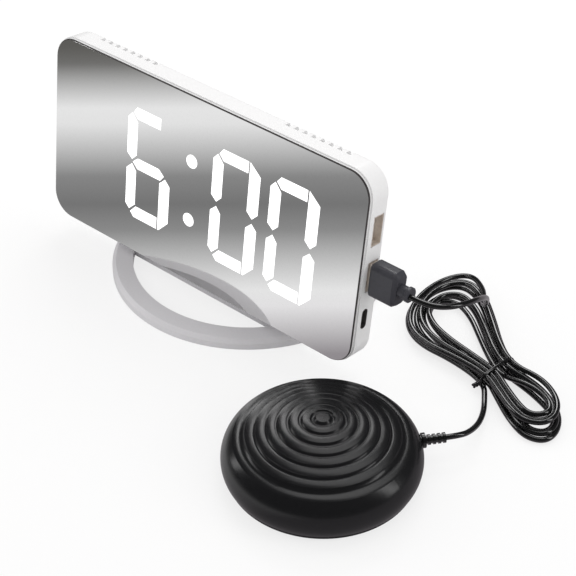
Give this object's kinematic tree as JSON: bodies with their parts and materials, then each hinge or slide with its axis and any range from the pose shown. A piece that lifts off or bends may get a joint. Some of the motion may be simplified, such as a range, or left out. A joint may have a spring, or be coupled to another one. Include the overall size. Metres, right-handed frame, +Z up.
{
  "type": "bed shaker alarm clock",
  "caption": "Slim mirror-front digital alarm clock on a ring stand, with a round vibrating bed shaker pad plugged into its side by a bundled cord.",
  "frame": {"origin": "on the floor under the middle of the stand's crossbar", "axes": "+X along the clock's width towards the side with the sockets, +Y back through the clock, +Z up; the mirror faces -Y and leans back"},
  "size_m": [0.2523, 0.1685, 0.0948],
  "materials": {
    "mirror": "polished mirror acrylic, edge painted dark",
    "white_case": "smooth white moulding",
    "stand_white": "satin light grey-white moulding",
    "white_inner": "matt white moulding",
    "light_guide": "milky translucent",
    "board_green": "solder mask over fibreglass",
    "led_white": "small white lamps",
    "screw_steel": "zinc plated",
    "socket_shell": "tinned steel sheet",
    "socket_tongue": "white moulding",
    "buzzer_black": "matt black",
    "cell_steel": "nickel plated",
    "switch_black": "matt black",
    "key_grey": "satin grey",
    "pad_black": "satin black soft-touch moulding",
    "motor_steel": "zinc plated can",
    "motor_cap": "white moulded end cap",
    "shaft_steel": "ground steel",
    "weight_metal": "sintered heavy metal",
    "cord_black": "glossy black cord jacket",
    "plug_charcoal": "charcoal moulding",
    "wire_red": "insulated wire"
  },
  "bodies": {
    "clock": {"mirror_panel": "mirror", "front_frame": "white_case", "rear_cover": "white_case", "case_screws": "screw_steel", "digit_reflector": "white_inner", "light_guides": "light_guide", "display_board": "board_green", "led_chips": "led_white", "board_screws": "screw_steel", "main_board": "board_green", "usb_port_upper": "socket_shell", "usb_tongue_upper": "socket_tongue", "usb_port_lower": "socket_shell", "usb_tongue_lower": "socket_tongue", "power_socket": "socket_shell", "power_tongue": "socket_tongue", "buzzer": "buzzer_black", "coin_cell": "cell_steel", "tact_switches": "switch_black", "slide_switch": "switch_black"},
    "stand": {"stand": "stand_white"},
    "shaker": {"cord_hank": "cord_black", "pad_lead": "cord_black", "plug_lead": "cord_black", "cable_tie": "cord_black", "plug_shell": "socket_shell", "plug_insert": "switch_black", "plug_overmold": "plug_charcoal", "pad_top_shell": "pad_black", "pad_base_shell": "pad_black", "pad_screws": "screw_steel", "motor_can": "motor_steel", "motor_cap": "motor_cap", "motor_bracket": "screw_steel", "bracket_screws": "screw_steel", "motor_leads": "wire_red", "strain_relief": "cord_black"},
    "rotor": {"motor_shaft": "shaft_steel", "eccentric_weight": "weight_metal"},
    "battery_door": {"battery_door": "white_case"},
    "mode_slider": {"slide_knob": "key_grey"},
    "snooze_key": {"snooze_key": "key_grey"},
    "mode_key": {"mode_key": "key_grey"},
    "alarm_key": {"alarm_key": "key_grey"},
    "down_key": {"down_key": "key_grey"},
    "up_key": {"up_key": "key_grey"}
  },
  "joints": [
    {"name": "stand_pull", "type": "slide", "parent": "clock", "child": "stand", "axis": [0, -0.1305, -0.9914], "range_m": [0, 0.03]},
    {"name": "plug_pull", "type": "slide", "parent": "clock", "child": "shaker", "axis": [1, 0, 0], "range_m": [0, 0.013]},
    {"name": "motor_spin", "type": "hinge", "parent": "shaker", "child": "rotor", "pos_m": [0.1092, -0.0605, 0.0122], "axis": [1, 0, 0], "continuous": true},
    {"name": "battery_door_pull", "type": "slide", "parent": "clock", "child": "battery_door", "axis": [0, 0.9914, -0.1305], "range_m": [0, 0.008]},
    {"name": "mode_slide", "type": "slide", "parent": "clock", "child": "mode_slider", "axis": [1, 0, 0], "range_m": [-0.0025, 0.0025]},
    {"name": "snooze_press", "type": "slide", "parent": "clock", "child": "snooze_key", "axis": [0, -0.9914, 0.1305], "range_m": [0, 0.0006], "stiffness_N_per_m": 600},
    {"name": "mode_press", "type": "slide", "parent": "clock", "child": "mode_key", "axis": [0, -0.9914, 0.1305], "range_m": [0, 0.0006], "stiffness_N_per_m": 600},
    {"name": "alarm_press", "type": "slide", "parent": "clock", "child": "alarm_key", "axis": [0, -0.9914, 0.1305], "range_m": [0, 0.0006], "stiffness_N_per_m": 600},
    {"name": "down_press", "type": "slide", "parent": "clock", "child": "down_key", "axis": [0, -0.9914, 0.1305], "range_m": [0, 0.0006], "stiffness_N_per_m": 600},
    {"name": "up_press", "type": "slide", "parent": "clock", "child": "up_key", "axis": [0, -0.9914, 0.1305], "range_m": [0, 0.0006], "stiffness_N_per_m": 600}
  ]
}
